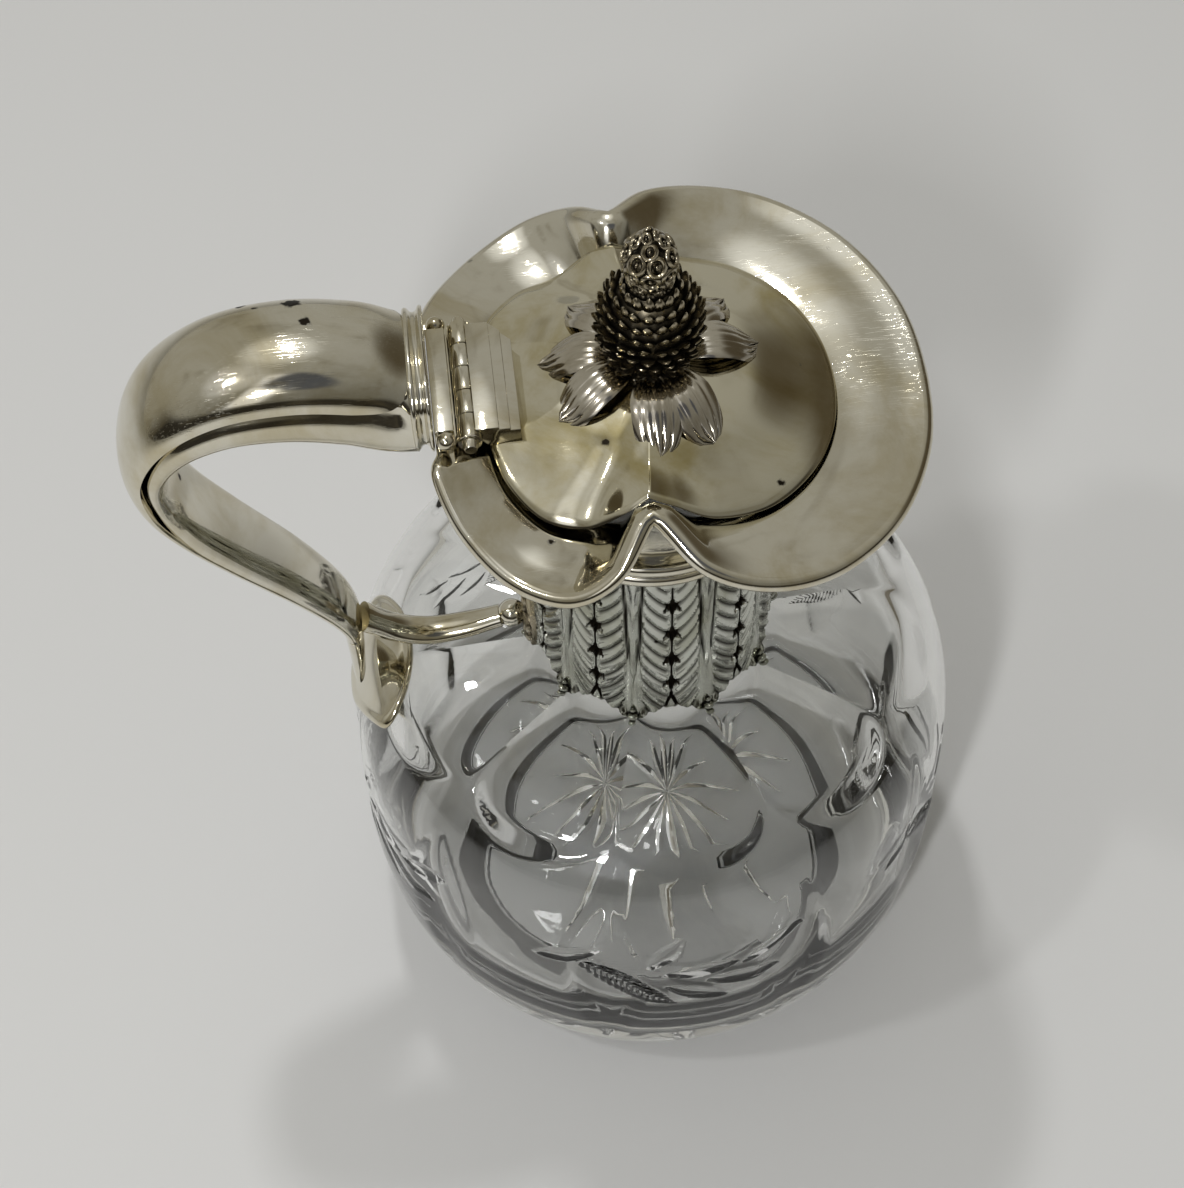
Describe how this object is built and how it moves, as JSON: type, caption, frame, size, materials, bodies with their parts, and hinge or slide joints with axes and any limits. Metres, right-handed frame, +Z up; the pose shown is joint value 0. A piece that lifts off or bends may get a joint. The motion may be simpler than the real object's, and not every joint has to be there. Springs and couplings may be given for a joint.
{
  "type": "claret jug",
  "caption": "Squat cut-glass globe with a pierced silver collar, two-lobed mouth, hinged lid with a bud finial and a hollow handle from the hinge to the shoulder.",
  "frame": {"origin": "middle of the foot, on the surface it stands on", "axes": "+Z up along the axis of the globe and neck; +X towards the spout, so the hinge and the handle lie at -X; +Y completes a right-handed frame"},
  "size_m": [0.1755, 0.14, 0.2353],
  "materials": {
    "glass": "clear cut glass with polished cuts",
    "silver": "worn polished silver with light tarnish",
    "dark_silver": "silver with dark oxidised hollows",
    "cement": "plaster"
  },
  "bodies": {
    "jug": {"glass_body": "glass", "neck_cement": "cement", "neck_collar": "silver", "neck_liner": "silver", "neck_ring_lower": "silver", "neck_ring_upper": "silver", "mouth_dish": "silver", "rim_wire": "silver", "hinge_plate": "silver", "plate_ball_front": "silver", "plate_ball_rear": "silver", "jug_knuckle_front": "silver", "jug_knuckle_middle": "silver", "jug_knuckle_rear": "silver", "hinge_pin": "silver", "pin_end_front": "silver", "pin_end_rear": "silver", "handle_flange": "silver", "handle_outer": "silver", "handle_inner": "silver", "handle_tail": "silver", "tail_saddle": "silver", "handle_arm": "silver", "arm_knob": "silver", "arm_bracket": "dark_silver"},
    "lid": {"lid_dome": "silver", "lid_bezel": "silver", "lid_leaf": "silver", "lid_knuckle_front": "silver", "lid_knuckle_rear": "silver", "finial_calyx": "silver", "finial_cone": "dark_silver", "finial_bud": "dark_silver", "finial_stud": "silver", "finial_washer": "silver", "finial_nut": "silver"}
  },
  "joints": [
    {"name": "lid_hinge", "type": "hinge", "parent": "jug", "child": "lid", "pos_m": [-0.0365, 0, 0.1945], "axis": [0, -1, 0], "range_deg": [0, 95]}
  ]
}
